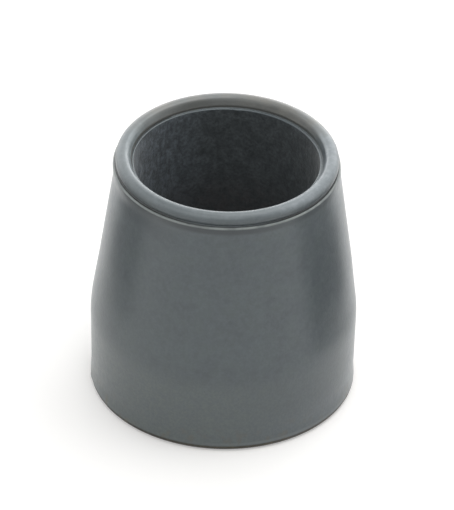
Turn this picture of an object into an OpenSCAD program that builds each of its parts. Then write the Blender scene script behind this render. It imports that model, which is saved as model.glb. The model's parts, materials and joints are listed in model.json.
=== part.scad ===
// Rubber cane tip: one moulded piece that pushes onto the lower end of a round shaft.
// Frame: origin at the centre of the sole, +Z up the axis of the socket, millimetres.

/* [Overall] */
// Height from the sole to the crest of the rim bead
height = 37.2; // [30:0.1:60]
// Diameter of the foot at the ground, before its edge is rounded
foot_d = 36.6; // [30:0.1:60]
// Rounding of the foot's lower edge
foot_round = 0.6; // [0.3:0.1:1.5]

/* [Socket] */
// Diameter of the shaft socket
socket_d = 25.4; // [16:0.1:32]
// Thickness of the rubber under the socket floor
sole_t = 9; // [5:0.5:14]
// Fillet round the socket floor
floor_fillet = 1.5; // [0.5:0.1:3]

/* [Skirt and shoulder] */
// Height of the foot lip, up to the waist of the skirt
lip_h = 2.7; // [2:0.1:4]
// How far the waist of the skirt draws in from the foot
waist_in = 0.16; // [0.05:0.01:0.4]
// Radius of the hollow curve at the waist
waist_round = 14; // [2:1:18]
// How far the shoulder stands out past the foot
shoulder_out = 0.08; // [0:0.01:0.5]
// Height of the shoulder, where the skirt turns into the cone
shoulder_z = 12.2; // [8:0.1:16]
// Radius of the round-over at the shoulder
shoulder_round = 20; // [5:1:30]

/* [Neck and rim] */
// Thickness of the wall at the neck, from the socket to the outside
neck_wall = 2.86; // [2.6:0.02:6]
// Height of the straight collar at the top of the neck
collar_h = 2.1; // [1:0.1:4]
// Radius of the hollow curve where the cone meets the collar
collar_blend = 8; // [2:1:12]
// Rounding of the collar's top edge
collar_round = 0.25; // [0.1:0.05:0.5]
// Thickness of the rim bead, seen in section
bead_d = 2.06; // [1.4:0.02:2.2]
// Height of the bead's crest above the collar
bead_rise = 1.8; // [1.6:0.05:2]
// Slope by which the bead's outside draws in below its middle, in degrees
bead_undercut = 20; // [0:1:30]
// Width of the ledge between the bead and the socket wall
ledge_w = 0.4; // [0.2:0.05:0.5]
// Depth of the ledge below the middle of the bead
ledge_drop = 0.4; // [0.2:0.05:0.5]
// Rounding of the ledge's inner edge, at the mouth of the socket
ledge_round = 0.15; // [0.05:0.05:0.2]

/* [Hidden] */
$fn = 144;

foot_r = foot_d / 2;
waist_r = foot_r - waist_in;
shoulder_r = foot_r + shoulder_out;
socket_r = socket_d / 2;
neck_r = socket_r + neck_wall;
collar_z = height - bead_rise;
neck_z = collar_z - collar_h;
bead_r = bead_d / 2;
bead_z = height - bead_r;
mouth_r = socket_r + ledge_w;
bead_centre_r = mouth_r + bead_r;
ledge_z = bead_z - ledge_drop;

// Unit vector along v
function unit(v) = v / norm(v);

// Half the angle at corner v between its neighbours a and b
function half_angle(a, v, b) = acos(unit(a - v) * unit(b - v)) / 2;

// Where an arc of radius r, rounding corner v, leaves the side towards a and the side towards b
function tangent_points(a, v, b, r) =
    let (reach = r / tan(half_angle(a, v, b)))
    [v + unit(a - v) * reach, v + unit(b - v) * reach];

// The piece of a circle between the arc that rounds corner v and that arc's chord
module corner_segment(a, v, b, r) {
    ends = tangent_points(a, v, b, r);
    inward = unit(unit(a - v) + unit(b - v));
    intersection() {
        translate(v + inward * r / sin(half_angle(a, v, b))) circle(r);
        polygon([ends[0], ends[1], ends[1] - inward * r, ends[0] - inward * r]);
    }
}

// A counter-clockwise outline with each corner rounded by its own radius, where 0 stays sharp
module rounded_outline(points, rounds) {
    n = len(points);
    before = [for (i = [0:n - 1]) points[(i + n - 1) % n]];
    after = [for (i = [0:n - 1]) points[(i + 1) % n]];
    turn = [for (i = [0:n - 1]) cross(points[i] - before[i], after[i] - points[i])];
    cut = [for (i = [0:n - 1])
        each rounds[i] == 0 ? [points[i]] : tangent_points(before[i], points[i], after[i], rounds[i])];
    difference() {
        union() {
            polygon(cut);
            for (i = [0:n - 1]) if (rounds[i] > 0 && turn[i] > 0)
                corner_segment(before[i], points[i], after[i], rounds[i]);
        }
        for (i = [0:n - 1]) if (rounds[i] > 0 && turn[i] < 0)
            corner_segment(before[i], points[i], after[i], rounds[i]);
    }
}

// Half section of the solid body: foot lip, waist, shoulder, cone and collar
module body_section() {
    rounded_outline(
        [[0, 0], [foot_r, 0], [waist_r, lip_h], [shoulder_r, shoulder_z],
         [neck_r, neck_z], [neck_r, collar_z], [0, collar_z]],
        [0, foot_round, waist_round, shoulder_round, collar_blend, collar_round, 0]);
}

// Half section of the rim: the round bead on its stem, and the ledge inside it
module rim_section() {
    stem = bead_z - collar_z;
    tangent = [bead_r * cos(bead_undercut), -bead_r * sin(bead_undercut)];
    foot = tangent[0] - (stem + tangent[1]) * tan(bead_undercut);
    translate([bead_centre_r, bead_z]) {
        circle(bead_r);
        polygon([[0, 0], [-bead_r, 0], [-bead_r, -stem], [foot, -stem], tangent]);
    }
    translate([socket_r, neck_z]) square([ledge_w, ledge_z - neck_z]);
}

// Half section of the space inside: the blind socket and the wider mouth above the ledge
module socket_section() {
    rounded_outline(
        [[0, sole_t], [socket_r, sole_t], [socket_r, ledge_z],
         [mouth_r, ledge_z], [mouth_r, bead_z], [0, bead_z]],
        [0, floor_fillet, ledge_round, 0, 0, 0]);
}

module cane_tip() {
    color([0.40, 0.42, 0.42])
        rotate_extrude()
            difference() {
                union() {
                    body_section();
                    rim_section();
                }
                socket_section();
            }
}

cane_tip();
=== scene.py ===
"""Rubber cane tip on a plain pale floor.

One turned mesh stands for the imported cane_tip node: a moulded rubber tip with a blind round
socket, a bead round its rim, a long cone, a shoulder and a short skirt that ends in the foot.
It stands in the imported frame, with the origin at the centre of the sole and +Z up the socket.
Blender's objects are in metres. The numbers here are in millimetres and become metres with MM,
apart from the floor's side, the lamps and the camera, which are given in metres.
"""

import json
import math
from types import SimpleNamespace

import bpy
from mathutils import Matrix, Vector, noise


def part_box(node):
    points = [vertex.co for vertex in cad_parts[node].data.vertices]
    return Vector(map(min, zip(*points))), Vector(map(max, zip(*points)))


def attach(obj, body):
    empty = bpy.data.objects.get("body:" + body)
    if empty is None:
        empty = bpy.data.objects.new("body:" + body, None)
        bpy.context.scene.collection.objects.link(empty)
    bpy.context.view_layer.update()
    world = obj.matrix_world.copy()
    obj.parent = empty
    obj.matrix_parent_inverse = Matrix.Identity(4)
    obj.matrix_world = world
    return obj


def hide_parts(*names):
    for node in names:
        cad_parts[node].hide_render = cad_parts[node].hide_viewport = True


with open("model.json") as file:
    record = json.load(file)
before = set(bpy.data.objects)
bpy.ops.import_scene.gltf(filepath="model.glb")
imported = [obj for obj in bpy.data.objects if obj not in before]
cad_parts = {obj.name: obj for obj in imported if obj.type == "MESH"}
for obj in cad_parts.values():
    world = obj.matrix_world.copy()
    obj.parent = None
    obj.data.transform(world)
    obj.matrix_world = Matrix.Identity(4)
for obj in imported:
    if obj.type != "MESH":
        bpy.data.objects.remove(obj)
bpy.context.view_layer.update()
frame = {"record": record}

MM = 0.001
NODE = "cane_tip"

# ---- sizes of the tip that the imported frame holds
tip_low, tip_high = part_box(NODE)
socket = next(m for m in frame["record"]["mounts"] if m["name"] == "socket")

height = (tip_high.z - tip_low.z) / MM
socket_r = socket["dims"]["r_mm"]
mouth_z = socket["pos_m"][2] / MM
socket_wall_low = mouth_z - socket["dims"]["length_mm"]

# ---- foot, skirt and shoulder: the waist draws in above the foot's lip, and the shoulder stands out
foot_r = 18.3
foot_round = 0.85
lip_h = 2.7
waist_in = 0.16
waist_round = 14
shoulder_out = 0.08
shoulder_z = 12.2
shoulder_round = 20

# ---- neck and collar: the cone runs up into a short straight collar
neck_wall = 2.86
collar_h = 2.1
collar_blend = 8
collar_round = 0.24
crease_round = 0.12

# ---- bead: a round section with its crest bead_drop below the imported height, set bead_out further out
# than the edge of the ledge, and with a flank that runs straight down inside it to a knee and a groove
bead_r = 1.005
bead_drop = 0.065
bead_out = 0.15
bead_rise = 1.8
knee_r = 0.38
knee_h = 0.36
groove_depth = 0.05

# ---- ledge and socket: the ledge lies ledge_drop below the bead's middle
ledge_w = 0.4
ledge_drop = 0.4
ledge_round = 0.15
floor_fillet = 1.5

neck_r = socket_r + neck_wall
collar_z = height - bead_rise
neck_z = collar_z - collar_h
bead_z = height - bead_drop - bead_r
bead_centre_r = socket_r + ledge_w + bead_out + bead_r
ledge_z = bead_z - ledge_drop
socket_floor = socket_wall_low - floor_fillet

# ---- how far the real moulding strays from that outline
wall_wave = 0.05
foot_wave = 0.02
bead_wave = 0.02
mouth_wave = 0.015
socket_rough = 0.05
foot_nib = 0.09
mouth_notch = 0.1
ripple_rise = 0.012
ripple_pitch = 0.6
cone_lean = 0.11
bead_lean = 0.055

# ---- how far apart the outline's points are on tight curves, on walls and on flat discs, and how many
# copies of it make the full turn
FINE = 0.12
WALL = 0.42
FLAT = 1.2
SEGMENTS = 360

# ---- stage: FLOOR_GAP keeps the floor off the sole, and the floor turns white from FLOOR_NEAR to
# FLOOR_FAR. CARD_FADE is how wide the soft edges of the cards are
FLOOR_GAP = 0.02
FLOOR_NEAR = 100
FLOOR_FAR = 700
CARD_FADE = 7

# ---- lamps, all equally far from the middle of the tip, in metres
LAMP_DISTANCE = 0.9
tip_middle = Vector((0, 0, (tip_low.z + tip_high.z) / 2))


# ---------------------------------------------------------------- outline

def arc(centre, radius, start, end, step):
    """Points along an arc, with angles in degrees, about step apart."""
    length = abs(math.radians(end - start)) * radius
    count = max(3, round(length / step))
    angles = [math.radians(start + (end - start) * i / count) for i in range(count + 1)]
    return [(centre[0] + radius * math.cos(a), centre[1] + radius * math.sin(a)) for a in angles]


def line(a, b, step):
    """Points from a to b, about step apart, without b."""
    count = max(1, round(math.dist(a, b) / step))
    return [(a[0] + (b[0] - a[0]) * i / count, a[1] + (b[1] - a[1]) * i / count) for i in range(count)]


def rounded(before, corner, after, radius, step):
    """The arc of that radius that rounds a corner, from the side of before to the side of after."""
    v = Vector(corner)
    to_before = (Vector(before) - v).normalized()
    to_after = (Vector(after) - v).normalized()
    half = to_before.angle(to_after) / 2
    start = v + to_before * (radius / math.tan(half))
    end = v + to_after * (radius / math.tan(half))
    centre = v + (to_before + to_after).normalized() * (radius / math.sin(half))
    first = math.degrees(math.atan2(start.y - centre.y, start.x - centre.x))
    last = math.degrees(math.atan2(end.y - centre.y, end.x - centre.x))
    turn = (last - first + 180) % 360 - 180
    return arc(centre, radius, first, first + turn, step)


def zoned(zone, points):
    """The (r, z) points with the zone that they belong to."""
    return [(r, z, zone) for r, z in points]


def body_outline(crease):
    """The sole from its centre, then the outside up to the crease between the collar and the bead."""
    corners = [
        ((0, 0), 0, 0),
        ((foot_r, 0), foot_round, FINE / 2),
        ((foot_r - waist_in, lip_h), waist_round, WALL),
        ((foot_r + shoulder_out, shoulder_z), shoulder_round, WALL),
        ((neck_r, neck_z), collar_blend, WALL),
        ((neck_r, collar_z), collar_round, FINE / 2),
        (crease, 0, 0),
    ]
    points = zoned("sole", [corners[0][0]])
    for before, (corner, radius, step), after in zip(corners, corners[1:], corners[2:]):
        bend = rounded(before[0], corner, after[0], radius, step)
        on_sole = before is corners[0]
        run = line(points[-1][:2], bend[0], FLAT if on_sole else WALL)[1:]
        points += zoned("sole" if on_sole else "outside", run) + zoned("outside", bend)
    return points + zoned("outside", line(points[-1][:2], crease, FINE)[1:])


def outline():
    """The half section as (r, z, zone) points, from the centre of the sole round to the socket's floor."""
    stem = bead_z - collar_z - crease_round
    reach = math.sqrt((bead_r + crease_round) ** 2 - stem ** 2)
    crease_centre = (bead_centre_r + reach, collar_z + crease_round)
    crease_angle = -math.degrees(math.atan2(stem, reach))
    crease = arc(crease_centre, crease_round, -90, crease_angle - 180, FINE / 3)

    knee = (socket_r + knee_r, ledge_z + knee_h)
    to_centre = (bead_centre_r - knee[0], bead_z - knee[1])
    flank_angle = math.atan2(to_centre[1], to_centre[0]) + math.asin(bead_r / math.hypot(*to_centre))
    bead = arc((bead_centre_r, bead_z), bead_r, crease_angle, 90 + math.degrees(flank_angle), FINE)
    groove = (knee[0] - groove_depth, ledge_z - groove_depth)
    bead += line(bead[-1], knee, FINE)[1:] + line(knee, groove, FINE) + [groove]

    back = (groove[0] - groove_depth / 2, ledge_z)
    mouth = (socket_r, ledge_z)
    floor_corner = (socket_r, socket_floor)
    floor_centre = (0, socket_floor)
    lip = rounded(back, mouth, floor_corner, ledge_round, FINE / 2)
    fillet = rounded(mouth, floor_corner, floor_centre, floor_fillet, WALL)
    wall = line(lip[-1], fillet[0], WALL)[1:] + fillet
    floor_disc = line(fillet[-1], floor_centre, FLAT)[1:] + [floor_centre]

    points = body_outline((crease_centre[0], collar_z))
    points += zoned("outside", crease[:-1]) + zoned("bead", bead)
    points += zoned("ledge", line(back, lip[0], FINE) + lip) + zoned("socket", wall + floor_disc)
    return points


# ---------------------------------------------------------------- shape of the real moulding

def spot(turn, r, z):
    """The point at a turn in degrees about the axis from +X, a radius and a height."""
    return (r * math.cos(math.radians(turn)), r * math.sin(math.radians(turn)), z)


FOOT_NIB = spot(187, foot_r, 0.9)
MOUTH_NOTCH = spot(84, socket_r, ledge_z - 0.15)
RIPPLE = spot(228, neck_r + 0.4, 29.6)


def smooth(low, high, x):
    """0 below low, 1 above high, and a smooth rise between them."""
    t = min(1.0, max(0.0, (x - low) / (high - low)))
    return t * t * (3 - 2 * t)


def waves(x, y, z, size, seed):
    """Smooth noise from about -1 to 1, with features of that size."""
    return noise.noise(Vector((x / size + seed, y / size - seed, z / size + 2 * seed)))


def near(point, centre, size):
    """1 at the centre, fading to 0 about size away from it."""
    return math.exp(-math.dist(point, centre) ** 2 / size ** 2)


def outward(x, y, z, zone):
    """How far the real surface stands out from the outline, away from the axis."""
    out = 0.0
    if zone == "outside":
        at_edge = (1 - smooth(0.6, 1, z)) * smooth(0.1, 0.4, z)
        ripple = math.cos(2 * math.pi * (z - RIPPLE[2]) / ripple_pitch)
        out += wall_wave * waves(x, y, z, size=11, seed=3) * smooth(0.5, 3, z)
        out += foot_wave * waves(x, y, z, size=0.9, seed=5) * at_edge
        out += foot_nib * near((x, y, z), FOOT_NIB, size=0.7)
        out += ripple_rise * ripple * near((x, y, z), RIPPLE, size=1.6)
    if zone == "bead":
        out = bead_wave * waves(x, y, z, size=5, seed=8)
    if zone == "socket":
        rough = waves(x, y, 0.4 * z, size=1.1, seed=14) + 0.6 * waves(x, y, z, size=0.9, seed=21)
        out = socket_rough * rough * smooth(0, 1.5, ledge_z - z)
    if zone in ("ledge", "socket"):
        out += mouth_wave * waves(x, y, z, size=0.8, seed=17)
        out -= mouth_notch * near((x, y, z), MOUTH_NOTCH, size=0.4)
    return out


def lean(z, zone):
    """How far the real surface is shifted to +X: the cone leans a little, and the bead sits askew."""
    if zone == "outside":
        return cone_lean * smooth(14, 21, z) * (1 - smooth(neck_z, collar_z, z))
    return bead_lean if zone == "bead" else 0


def moulded(r, z, angle, zone):
    """Where the real moulding has the point of the outline at (r, z), turned to that angle, in metres."""
    x = r * math.cos(angle)
    y = r * math.sin(angle)
    grown = (r + outward(x, y, z, zone)) / r
    return Vector((x * grown + lean(z, zone), y * grown, z)) * MM


def turned_mesh(name, slot_of):
    """The whole tip as one closed mesh, turned from the outline, with a material slot for each zone."""
    bottom, *rings, top = outline()
    vertices = [Vector((0, 0, bottom[1])) * MM]
    for r, z, zone in rings:
        for k in range(SEGMENTS):
            vertices.append(moulded(r, z, 2 * math.pi * k / SEGMENTS, zone))
    vertices.append(Vector((0, 0, top[1])) * MM)

    faces = []
    slots = []
    starts = [1 + i * SEGMENTS for i in range(len(rings))]
    for k in range(SEGMENTS):
        after = (k + 1) % SEGMENTS
        faces.append((0, starts[0] + after, starts[0] + k))
        slots.append(slot_of[bottom[2]])
        faces.append((starts[-1] + k, starts[-1] + after, len(vertices) - 1))
        slots.append(slot_of[top[2]])
    for here, up, ring in zip(starts, starts[1:], rings[1:]):
        for k in range(SEGMENTS):
            after = (k + 1) % SEGMENTS
            faces.append((here + k, here + after, up + after, up + k))
            slots.append(slot_of[ring[2]])

    mesh = bpy.data.meshes.new(name)
    mesh.from_pydata(vertices, [], faces)
    mesh.polygons.foreach_set("use_smooth", [True] * len(faces))
    mesh.polygons.foreach_set("material_index", slots)
    mesh.update()
    return mesh


# ---------------------------------------------------------------- materials

def colour(r, g, b):
    """A colour given as it looks on screen, from 0 to 255, for a shader."""
    def linear(v):
        v = v / 255
        return v / 12.92 if v <= 0.04045 else ((v + 0.055) / 1.055) ** 2.4
    return (linear(r), linear(g), linear(b), 1.0)


class Nodes:
    """A short way to write the nodes of a material or a world."""

    def __init__(self, owner):
        self.owner = owner
        owner.use_nodes = True
        self.tree = owner.node_tree
        self.tree.nodes.clear()

    def add(self, kind, inputs=None, **settings):
        """A node whose inputs are each linked to a socket or set to a value."""
        node = self.tree.nodes.new(kind)
        for key, value in settings.items():
            setattr(node, key, value)
        for key, value in (inputs or {}).items():
            self.put(value, node.inputs[key])
        return node

    def put(self, value, target):
        """Links the input target to a socket, or sets it to a value."""
        if isinstance(value, bpy.types.NodeSocket):
            self.tree.links.new(value, target)
        else:
            target.default_value = value

    def math(self, operation, a, b=0.0):
        """The result of that operation on a, or on a and b."""
        return self.add("ShaderNodeMath", {0: a, 1: b}, operation=operation).outputs[0]

    def place(self):
        """Where a point is on the object, in millimetres."""
        point = self.add("ShaderNodeTexCoord").outputs["Object"]
        scaled = self.add("ShaderNodeVectorMath", {0: point, "Scale": 1 / MM}, operation="SCALE")
        return scaled.outputs["Vector"]

    def axes(self, place):
        """The point's x, y and z."""
        x, y, z = self.add("ShaderNodeSeparateXYZ", {"Vector": place}).outputs
        return SimpleNamespace(x=x, y=y, z=z)

    def off_axis(self, at):
        """How far the point with those x, y and z is from the tip's axis."""
        squares = self.math("ADD", self.math("MULTIPLY", at.x, at.x), self.math("MULTIPLY", at.y, at.y))
        return self.math("SQRT", squares)

    def stretched(self, place, factors):
        """The point with its x, y and z each multiplied by a factor."""
        return self.add("ShaderNodeVectorMath", {0: place, 1: factors}, operation="MULTIPLY").outputs[0]

    def noise(self, place, size, detail=3.0, roughness=0.55):
        """Noise with features of that size, from 0 to 1."""
        inputs = {"Vector": place, "Scale": 1 / size, "Detail": detail, "Roughness": roughness}
        return self.add("ShaderNodeTexNoise", inputs).outputs["Fac"]

    def ramp(self, value, low, high, to_low=0.0, to_high=1.0):
        """value from low to high, turned smoothly into to_low to to_high."""
        inputs = {"Value": value, 1: low, 2: high, 3: to_low, 4: to_high}
        node = self.add("ShaderNodeMapRange", inputs, interpolation_type="SMOOTHSTEP", clamp=True)
        return node.outputs["Result"]

    def band(self, value, centre, half, soft):
        """1 where value is within half of centre, fading to 0 over the next soft."""
        away = self.math("ABSOLUTE", self.math("SUBTRACT", value, centre))
        return self.ramp(away, half, half + soft, 1, 0)

    def times(self, *masks):
        """Masks and factors multiplied together."""
        product = masks[0]
        for mask in masks[1:]:
            product = self.math("MULTIPLY", product, mask)
        return product

    def mix(self, factor, a, b):
        """Colour a where the factor is 0, and b where it is 1."""
        node = self.add("ShaderNodeMix", data_type="RGBA")
        for key, value in {"Factor": factor, "A": a, "B": b}.items():
            self.put(value, next(s for s in node.inputs if s.name == key and s.enabled))
        return next(s for s in node.outputs if s.enabled)

    def tint(self, base, mask, shade):
        """base, turned to that shade, given as for colour(), where the mask is 1."""
        return self.mix(mask, base, colour(*shade))

    def seen(self):
        """1 for a ray from the camera or on from gloss or glass, and 0 for one that lights things."""
        path = self.add("ShaderNodeLightPath").outputs
        direct = self.math("MAXIMUM", path["Is Camera Ray"], path["Is Glossy Ray"])
        return self.math("MAXIMUM", direct, path["Is Transmission Ray"])

    def bump(self, shape, strength, depth):
        """A normal from that shape, with depth in millimetres."""
        inputs = {"Height": shape, "Strength": strength, "Distance": depth * MM}
        return self.add("ShaderNodeBump", inputs).outputs["Normal"]

    def glow(self, strength):
        """White light of that strength."""
        return self.add("ShaderNodeEmission", {"Color": (1, 1, 1, 1), "Strength": strength})

    def end(self, shader):
        """Ends a material in that shader, and gives back the material."""
        self.add("ShaderNodeOutputMaterial", {"Surface": shader.outputs[0]})
        return self.owner


def wall_colour(n, at):
    """Plain rubber, mottled and grained, and paler on the left, with painted light that makes the skirt
    paler low down.
    """
    left = n.times(n.ramp(at.x, 6, -15), n.ramp(at.z, 34, 8, 0.25, 1), n.ramp(at.broad, 0.3, 0.6, 0.2, 0.6))
    # painted light: the two skirt masks make the skirt paler low down, most on the left, and lowest on the
    # right
    skirt = n.times(n.ramp(at.z, 13, 9), n.ramp(at.x, 15, -2, 0.15, 0.8))
    skirt_right = n.times(n.ramp(at.z, 7, 2), n.ramp(at.x, 0, 12, 0, 0.6))
    base = n.mix(n.ramp(at.broad, 0.35, 0.65), colour(71, 78, 82), colour(76, 84, 88))
    base = n.tint(base, n.ramp(at.blotch, 0.35, 0.7, 0, 0.5), (82, 92, 91))
    base = n.tint(base, left, (84, 93, 91))
    base = n.tint(base, skirt, (94, 102, 100))
    base = n.tint(base, skirt_right, (98, 105, 109))
    base = n.tint(base, n.ramp(at.mottle, 0.32, 0.68, 0, 0.6), (86, 94, 98))
    return n.tint(base, n.ramp(at.grain, 0.35, 0.65, 0.32, 0), (68, 75, 78))


def collar_colour(n, at, base):
    """Painted shade in bands under the collar's edge and in the crease, and painted highlights on the
    neck's sides under the collar and along the collar's edge.
    """
    away = n.math("ABSOLUTE", at.x)
    # painted shade: dark_left, collar and below_edge darken bands on the left and under the collar's edge
    dark_left = n.times(
        n.ramp(at.z, collar_z - 5, collar_z - 2), n.ramp(at.z, collar_z, collar_z - 0.2),
        n.ramp(at.x, -5, -10, 0, 0.6))
    collar = n.times(
        n.ramp(at.z, collar_z - 1.5, collar_z - 0.2), n.ramp(at.z, collar_z + 0.1, collar_z),
        n.ramp(at.x, -2, 7, 0.85, 0.2))
    below_edge = n.times(
        n.band(at.z, collar_z - 0.55, 0.2, 0.55), n.ramp(at.x, -11, -5), n.ramp(at.x, 2, 9, 0.8, 0.4))
    # painted highlight on the sides of the neck under the collar
    neck_side_highlight = n.times(
        n.ramp(away, neck_r - 2.2, neck_r - 0.3), n.ramp(at.z, collar_z - 7, collar_z - 2),
        n.ramp(at.blotch, 0.25, 0.6, 0.45, 1), 0.42)
    # painted highlight along the collar's rounded edge
    edge = n.times(
        n.band(at.z, collar_z - 0.05, 0.12, 0.12), n.ramp(at.r, neck_r - 0.4, neck_r - 0.25),
        n.ramp(at.blotch, 0.3, 0.6, 0.5, 1))
    # painted shade in the crease between the collar and the bead
    crease = n.times(
        n.band(at.z, collar_z + 0.1, 0.13, 0.09), n.band(at.r, neck_r - 0.48, 0.24, 0.06),
        n.ramp(away, 3, 9, 0.3, 1), n.ramp(at.mottle, 0.3, 0.6, 0.7, 1))
    base = n.tint(base, dark_left, (62, 69, 72))
    base = n.tint(base, collar, (62, 67, 68))
    base = n.tint(base, below_edge, (52, 57, 60))
    base = n.tint(base, neck_side_highlight, (124, 132, 136))
    base = n.tint(base, edge, (122, 128, 126))
    return n.tint(base, crease, (34, 36, 35))


def bead_colour(n, at, base):
    """Painted highlights on the bead's crest and flanks, and browner rubber at its far side, partly painted
    lighter as a highlight.
    """
    above_collar = n.ramp(at.z, collar_z + 0.4, collar_z + 0.7)
    # painted highlight: crest makes the bead's crest paler, most on the right
    crest = n.times(
        n.ramp(at.z, bead_z, bead_z + 0.8), n.ramp(at.r, bead_centre_r - 0.8, bead_centre_r - 0.5, 0.2, 1))
    # painted highlight on the bead's inner edge, away from the far side
    inner = n.times(
        n.ramp(at.z, bead_z + 0.4, bead_z + 0.7), n.ramp(at.r, bead_centre_r - 0.2, bead_centre_r - 0.5),
        n.ramp(at.y, 8, 3), n.ramp(at.blotch, 0.3, 0.6, 0.3, 0.8))
    # painted highlight on the bead's inner flank at the left
    left_flank = n.times(
        n.ramp(at.r, bead_centre_r - 0.2, bead_centre_r - 0.6), n.ramp(at.x, -5, -11),
        n.ramp(at.z, collar_z + 0.6, collar_z + 0.9), n.ramp(at.blotch, 0.3, 0.6, 0.4, 0.8))
    # painted highlight in patches on the right side of the crest
    patches = n.noise(at.place, size=0.9, detail=4, roughness=0.6)
    patchy_highlight = n.times(crest, n.ramp(patches, 0.42, 0.66), n.ramp(at.x, 4, 11, 0.12, 0.4))
    far = n.ramp(at.y, 3, 11)
    # browner tone on the far crest, also painted lighter as a highlight
    far_crest = n.times(
        far, n.ramp(at.z, bead_z + 0.55, bead_z + 0.9), n.ramp(at.broad, 0.3, 0.6, 0.4, 0.9))
    far_flank = n.times(far, n.ramp(at.r, bead_centre_r - 0.5, bead_centre_r - 0.75), above_collar, 0.75)
    # browner tone on the far bead's right part, also painted lighter as a highlight
    far_right = n.times(
        above_collar, n.ramp(at.y, 3, 9), n.ramp(at.x, -2, 8), n.ramp(at.blotch, 0.3, 0.65, 0.2, 0.6))
    base = n.tint(base, n.times(crest, 0.6), (104, 112, 114))
    base = n.tint(base, n.times(crest, n.ramp(at.x, 3, 11), 0.45), (128, 136, 141))
    base = n.tint(base, inner, (136, 144, 148))
    base = n.tint(base, left_flank, (138, 146, 148))
    base = n.tint(base, patchy_highlight, (140, 147, 152))
    base = n.tint(base, far_crest, (120, 119, 114))
    base = n.tint(base, far_flank, (64, 63, 57))
    return n.tint(base, far_right, (110, 109, 102))


def foot_colour(n, at, base):
    """A painted highlight line over the foot's edge, brown dirt and painted shade on the edge, and the
    brown scuffs above it.
    """
    # painted highlight line just above the foot's edge
    foot_highlight_line = n.times(n.band(at.z, 1.1, 0.12, 0.2), n.ramp(at.x, -9, 6, 0.05, 0.6))
    # brown dirt and painted shade on the foot's rounded edge, which faces the floor
    dirt_and_shade = n.mix(n.ramp(at.x, -9, -3), colour(36, 29, 18), colour(52, 46, 33))
    smears = n.noise(at.place, size=1.6, detail=4)
    scuffs = n.times(n.ramp(at.z, 5, 0.8), n.ramp(smears, 0.52, 0.68), 0.55)
    base = n.tint(base, foot_highlight_line, (108, 114, 116))
    base = n.mix(n.times(at.foot, n.ramp(at.mottle, 0.3, 0.6, 0.85, 1)), base, dirt_and_shade)
    return n.tint(base, scuffs, (98, 91, 74))


def rubber_outside():
    """Grey rubber with grain, dirt, scuffs and specks, and with painted highlights and shade, for the
    outside, the bead and the ledge.
    """
    n = Nodes(bpy.data.materials.new("rubber_outside"))
    place = n.place()

    # where a point is, with the noises that the zones share
    at = n.axes(place)
    at.r = n.off_axis(at)
    at.place = place
    at.broad = n.noise(place, size=5)
    at.blotch = n.noise(place, size=2.2, detail=2)
    at.mottle = n.noise(place, size=0.8)
    at.grain = n.noise(place, size=0.34)
    at.foot = n.ramp(at.z, 1.0, 0.7)

    base = wall_colour(n, at)
    base = collar_colour(n, at, base)
    base = bead_colour(n, at, base)
    base = foot_colour(n, at, base)
    specks = n.times(n.ramp(n.noise(place, size=0.42, detail=2), 0.72, 0.78), 0.55)
    # painted light: the groove's steep wall above the ledge is made paler and warmer
    groove = n.times(
        n.ramp(at.r, socket_r + knee_r + 0.06, socket_r + knee_r), n.ramp(at.z, ledge_z, ledge_z + 0.08))
    base = n.tint(base, specks, (58, 62, 64))
    base = n.tint(base, groove, (86, 87, 84))

    rough = n.math("ADD", n.ramp(at.mottle, 0.3, 0.7, 0.30, 0.36), n.times(at.foot, 0.35))
    relief = n.math("ADD", n.math("MULTIPLY", at.grain, 0.7), at.mottle)
    return n.end(n.add("ShaderNodeBsdfPrincipled", {
        "Base Color": base, "Roughness": rough, "Normal": n.bump(relief, strength=0.3, depth=0.06),
        "Specular IOR Level": 0.64, "Specular Tint": (0.95, 0.98, 1, 1),
        "Sheen Weight": 0.28, "Sheen Roughness": 0.28, "Sheen Tint": (0.93, 0.97, 1, 1)}))


def rubber_sole():
    """Plain matt rubber for the underside, which no part of the photo shows."""
    n = Nodes(bpy.data.materials.new("rubber_sole"))
    place = n.place()
    grain = n.noise(place, size=0.5)
    mottle = n.noise(place, size=2.0, detail=5)
    base = n.mix(n.ramp(mottle, 0.3, 0.75), colour(74, 78, 79), colour(88, 91, 91))
    base = n.tint(base, n.ramp(grain, 0.35, 0.65, 0.3, 0), (66, 69, 70))
    return n.end(n.add("ShaderNodeBsdfPrincipled", {
        "Base Color": base, "Roughness": 0.7, "Normal": n.bump(grain, strength=0.3, depth=0.1)}))


def rubber_socket():
    """Rougher rubber for the inside, paler with painted light and a dust-like mottle on the left wall,
    streaked there, and dustier low down.
    """
    n = Nodes(bpy.data.materials.new("rubber_socket"))
    place = n.place()
    at = n.axes(place)
    mottle = n.noise(place, size=1.3, detail=5, roughness=0.65)
    grain = n.noise(place, size=0.4)
    streaks = n.noise(n.stretched(place, (1, 1, 0.18)), size=0.6)
    left = n.ramp(at.x, -1, -11)
    low = n.ramp(at.z, ledge_z - 9, ledge_z - 16)
    base = n.mix(n.ramp(mottle, 0.3, 0.75), colour(68, 73, 75), colour(92, 98, 100))
    # painted light and a dust-like mottle: the left wall made paler and bluer
    base = n.tint(base, n.times(left, n.ramp(mottle, 0.35, 0.65, 0.3, 0.9)), (118, 127, 135))
    base = n.tint(base, n.times(left, n.ramp(streaks, 0.45, 0.7, 0, 0.5)), (58, 62, 66))
    base = n.tint(base, n.ramp(grain, 0.35, 0.62, 0.45, 0), (46, 49, 51))
    base = n.tint(base, n.times(low, n.ramp(mottle, 0.4, 0.6, 0.1, 0.5)), (76, 70, 70))
    relief = n.math("ADD", mottle, n.math("MULTIPLY", grain, 0.5))
    return n.end(n.add("ShaderNodeBsdfPrincipled", {
        "Base Color": base, "Roughness": 0.5, "Normal": n.bump(relief, strength=0.6, depth=0.2),
        "Sheen Weight": 0.25, "Sheen Roughness": 0.4, "Sheen Tint": (1, 1, 1, 1)}))


# ---------------------------------------------------------------- floor, light and camera

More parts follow.
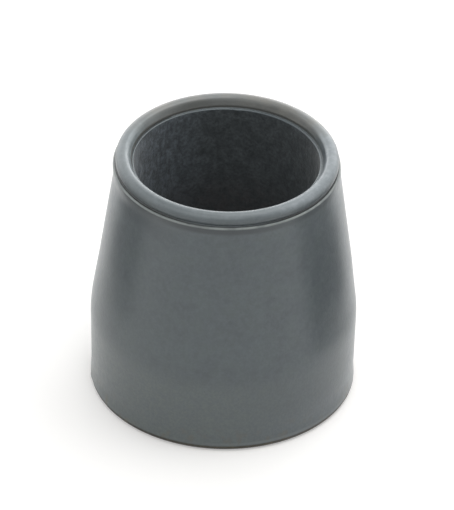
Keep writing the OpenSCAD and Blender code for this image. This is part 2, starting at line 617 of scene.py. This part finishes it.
def floor_material(glow, albedo):
    """Pale floor that keeps the tip's shadow. It glows only where it is seen, and is white far away."""
    n = Nodes(bpy.data.materials.new("floor"))
    away = n.off_axis(n.axes(n.place()))
    diffuse = n.add("ShaderNodeBsdfDiffuse", {"Color": albedo})
    light = n.glow(n.times(n.seen(), n.ramp(away, FLOOR_NEAR, FLOOR_FAR, glow, 1)))
    return n.end(n.add("ShaderNodeAddShader", {0: diffuse.outputs[0], 1: light.outputs[0]}))


def stage_panel(name, corners, material):
    """A flat four-cornered piece of the stage, in metres."""
    mesh = bpy.data.meshes.new(name)
    mesh.from_pydata(corners, [], [(0, 1, 2, 3)])
    mesh.materials.append(material)
    panel = bpy.data.objects.new(name, mesh)
    bpy.context.scene.collection.objects.link(panel)
    return panel


def pale_floor(side, glow, albedo):
    """A square floor with its middle under the tip, just below the sole, and its side in metres."""
    half = side / 2
    corners = [(-half, -half, 0), (half, -half, 0), (half, half, 0), (-half, half, 0)]
    floor = stage_panel("floor", corners, floor_material(glow, albedo))
    floor.location.z = tip_low.z - FLOOR_GAP * MM


def side_card(name, x, near_y, far_y, lift, tall, tone):
    """An upright card beside the tip that shows only in its gloss.

    It is white along its edges and darkens to tone, where 0 is black, in the middle of its lower half.
    """
    n = Nodes(bpy.data.materials.new(name))
    at = n.axes(n.place())
    half = (far_y - near_y) / 2
    along = n.band(at.y, 0, half - CARD_FADE, CARD_FADE)
    dark = n.times(along, n.ramp(at.z, tall / 2, tall, 1, 0), 1 - tone)
    material = n.end(n.glow(n.math("SUBTRACT", 1.0, dark)))
    corners = [(0, -half, 0), (0, half, 0), (0, half, tall), (0, -half, tall)]
    card = stage_panel(name, [Vector(c) * MM for c in corners], material)
    card.location = Vector((x, (near_y + far_y) / 2, lift)) * MM
    card.visible_camera = False
    card.visible_diffuse = False
    card.visible_shadow = False


def white_world(strength):
    """White where the camera or a reflection sees it, and plain soft light for the rest."""
    world = bpy.data.worlds.new("studio")
    bpy.context.scene.world = world
    n = Nodes(world)
    level = n.ramp(n.seen(), 0, 1, strength, 1)
    background = n.add("ShaderNodeBackground", {"Color": (1, 1, 1, 1), "Strength": level})
    n.add("ShaderNodeOutputWorld", {"Surface": background.outputs[0]})


def softbox(name, azimuth, elevation, size, power):
    """An area lamp aimed at the tip, with its size in metres and its power in watts.

    Azimuth 0 is behind the camera, 90 at its right and 180 behind the tip.
    """
    lamp = bpy.data.lights.new(name, "AREA")
    lamp.shape = "RECTANGLE"
    lamp.size, lamp.size_y = size
    lamp.energy = power
    holder = bpy.data.objects.new(name, lamp)
    bpy.context.scene.collection.objects.link(holder)
    a, e = math.radians(azimuth), math.radians(elevation)
    out = Vector((math.sin(a) * math.cos(e), -math.cos(a) * math.cos(e), math.sin(e)))
    holder.location = tip_middle + out * LAMP_DISTANCE
    holder.rotation_euler = out.to_track_quat("Z", "Y").to_euler()
    holder.visible_camera = False


def photo_camera(elevation, roll, distance, lens, aim):
    """The camera, on the -Y side of aim and turned to it, with angles in degrees.

    The lens is in millimetres, and distance and aim are in metres.
    """
    data = bpy.data.cameras.new("camera")
    data.lens = lens
    data.sensor_width = 36
    data.clip_start = 0.01
    data.clip_end = 10
    holder = bpy.data.objects.new("camera", data)
    bpy.context.scene.collection.objects.link(holder)
    e, tilt = math.radians(elevation), math.radians(roll)
    back = Vector((0, -math.cos(e), math.sin(e)))
    side = Vector((1, 0, 0))
    up = Vector((0, math.sin(e), math.cos(e)))
    right = side * math.cos(tilt) + up * math.sin(tilt)
    above = up * math.cos(tilt) - side * math.sin(tilt)
    turn = Matrix((right, above, back)).transposed().to_4x4()
    holder.matrix_world = Matrix.Translation(Vector(aim) + back * distance) @ turn
    bpy.context.scene.camera = holder


# ---------------------------------------------------------------- the scene

makers = (rubber_outside, rubber_sole, rubber_socket)
slot_of = {
    "outside": makers.index(rubber_outside),
    "bead": makers.index(rubber_outside),
    "ledge": makers.index(rubber_outside),
    "sole": makers.index(rubber_sole),
    "socket": makers.index(rubber_socket),
}
tip = bpy.data.objects.new("rubber_tip", turned_mesh("rubber_tip", slot_of))
bpy.context.scene.collection.objects.link(tip)
for make in makers:
    tip.data.materials.append(make())
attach(tip, "root")
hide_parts(NODE)

pale_floor(side=12.0, glow=0.285, albedo=(0.81, 0.80, 0.785, 1))
side_card("card_right", x=40, near_y=-22.5, far_y=19.5, lift=0.2, tall=30, tone=0.2)
side_card("card_left", x=-40, near_y=-17, far_y=17.5, lift=5, tall=25, tone=0.34)

white_world(0.19)
softbox("back_wide", azimuth=190, elevation=25, size=(1.8, 0.8), power=5.6)
softbox("back_right", azimuth=150, elevation=28, size=(1.0, 0.8), power=1.1)
softbox("back_low", azimuth=180, elevation=8, size=(2.0, 0.25), power=1.1)
softbox("right", azimuth=90, elevation=30, size=(0.9, 0.7), power=1.7)
softbox("left", azimuth=270, elevation=30, size=(0.9, 0.7), power=1.3)
softbox("front", azimuth=345, elevation=50, size=(1.0, 0.7), power=2.55)
softbox("top", azimuth=115, elevation=72, size=(0.8, 0.8), power=4.5)
photo_camera(elevation=35.28, roll=1.28, distance=1.0998, lens=564.7, aim=(0.0003, 0, 0.02009))

bpy.context.scene.view_settings.view_transform = "Standard"
